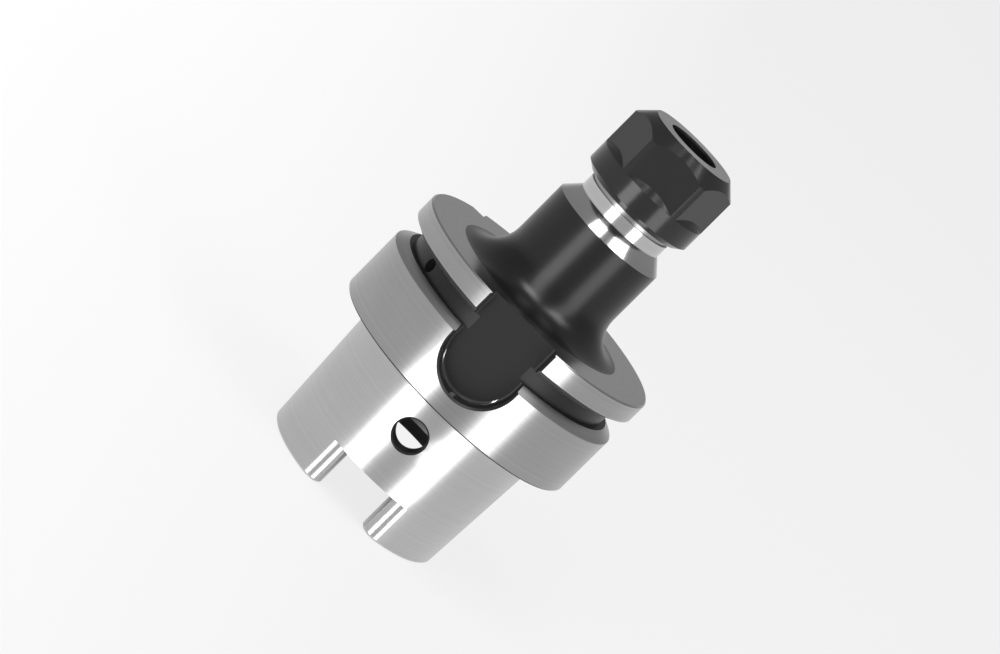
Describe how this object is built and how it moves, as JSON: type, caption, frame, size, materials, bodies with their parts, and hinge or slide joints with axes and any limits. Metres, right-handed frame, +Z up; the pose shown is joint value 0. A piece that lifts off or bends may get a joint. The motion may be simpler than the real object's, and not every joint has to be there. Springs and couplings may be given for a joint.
{
  "type": "collet chuck holder",
  "caption": "Hollow-taper collet chuck with a slotted, grooved flange, a slim swept nose and a hexagon clamping nut that screws on over an extractor ring.",
  "frame": {"origin": "centre of the shank's end face, on which the chuck stands", "axes": "+Z up the chuck's axis to the nut; -Y through the wide key slot, the shallow drive slot and one access hole"},
  "size_m": [0.063, 0.063, 0.1044],
  "materials": {
    "ground_steel": "ground on the shank and flange, black oxide on the nose between flange and cone",
    "black_steel": "satin black oxide with a ground front face",
    "spring_steel": "plain turned"
  },
  "bodies": {
    "chuck": {"chuck_body": "ground_steel"},
    "nut_carrier": {"extractor_ring": "spring_steel"},
    "nut": {"clamping_nut": "black_steel"}
  },
  "joints": [
    {"name": "nut_travel", "type": "slide", "parent": "chuck", "child": "nut_carrier", "axis": [0, 0, 1], "range_m": [0, 0.009]},
    {"name": "nut_turn", "type": "hinge", "parent": "nut_carrier", "child": "nut", "pos_m": [0, 0, 0.095], "axis": [0, 0, 1], "range_deg": [0, 2160]}
  ],
  "couplings": [
    {"joint": "nut_travel", "follows": "nut_turn", "m_per_rad": 0.00023873}
  ]
}
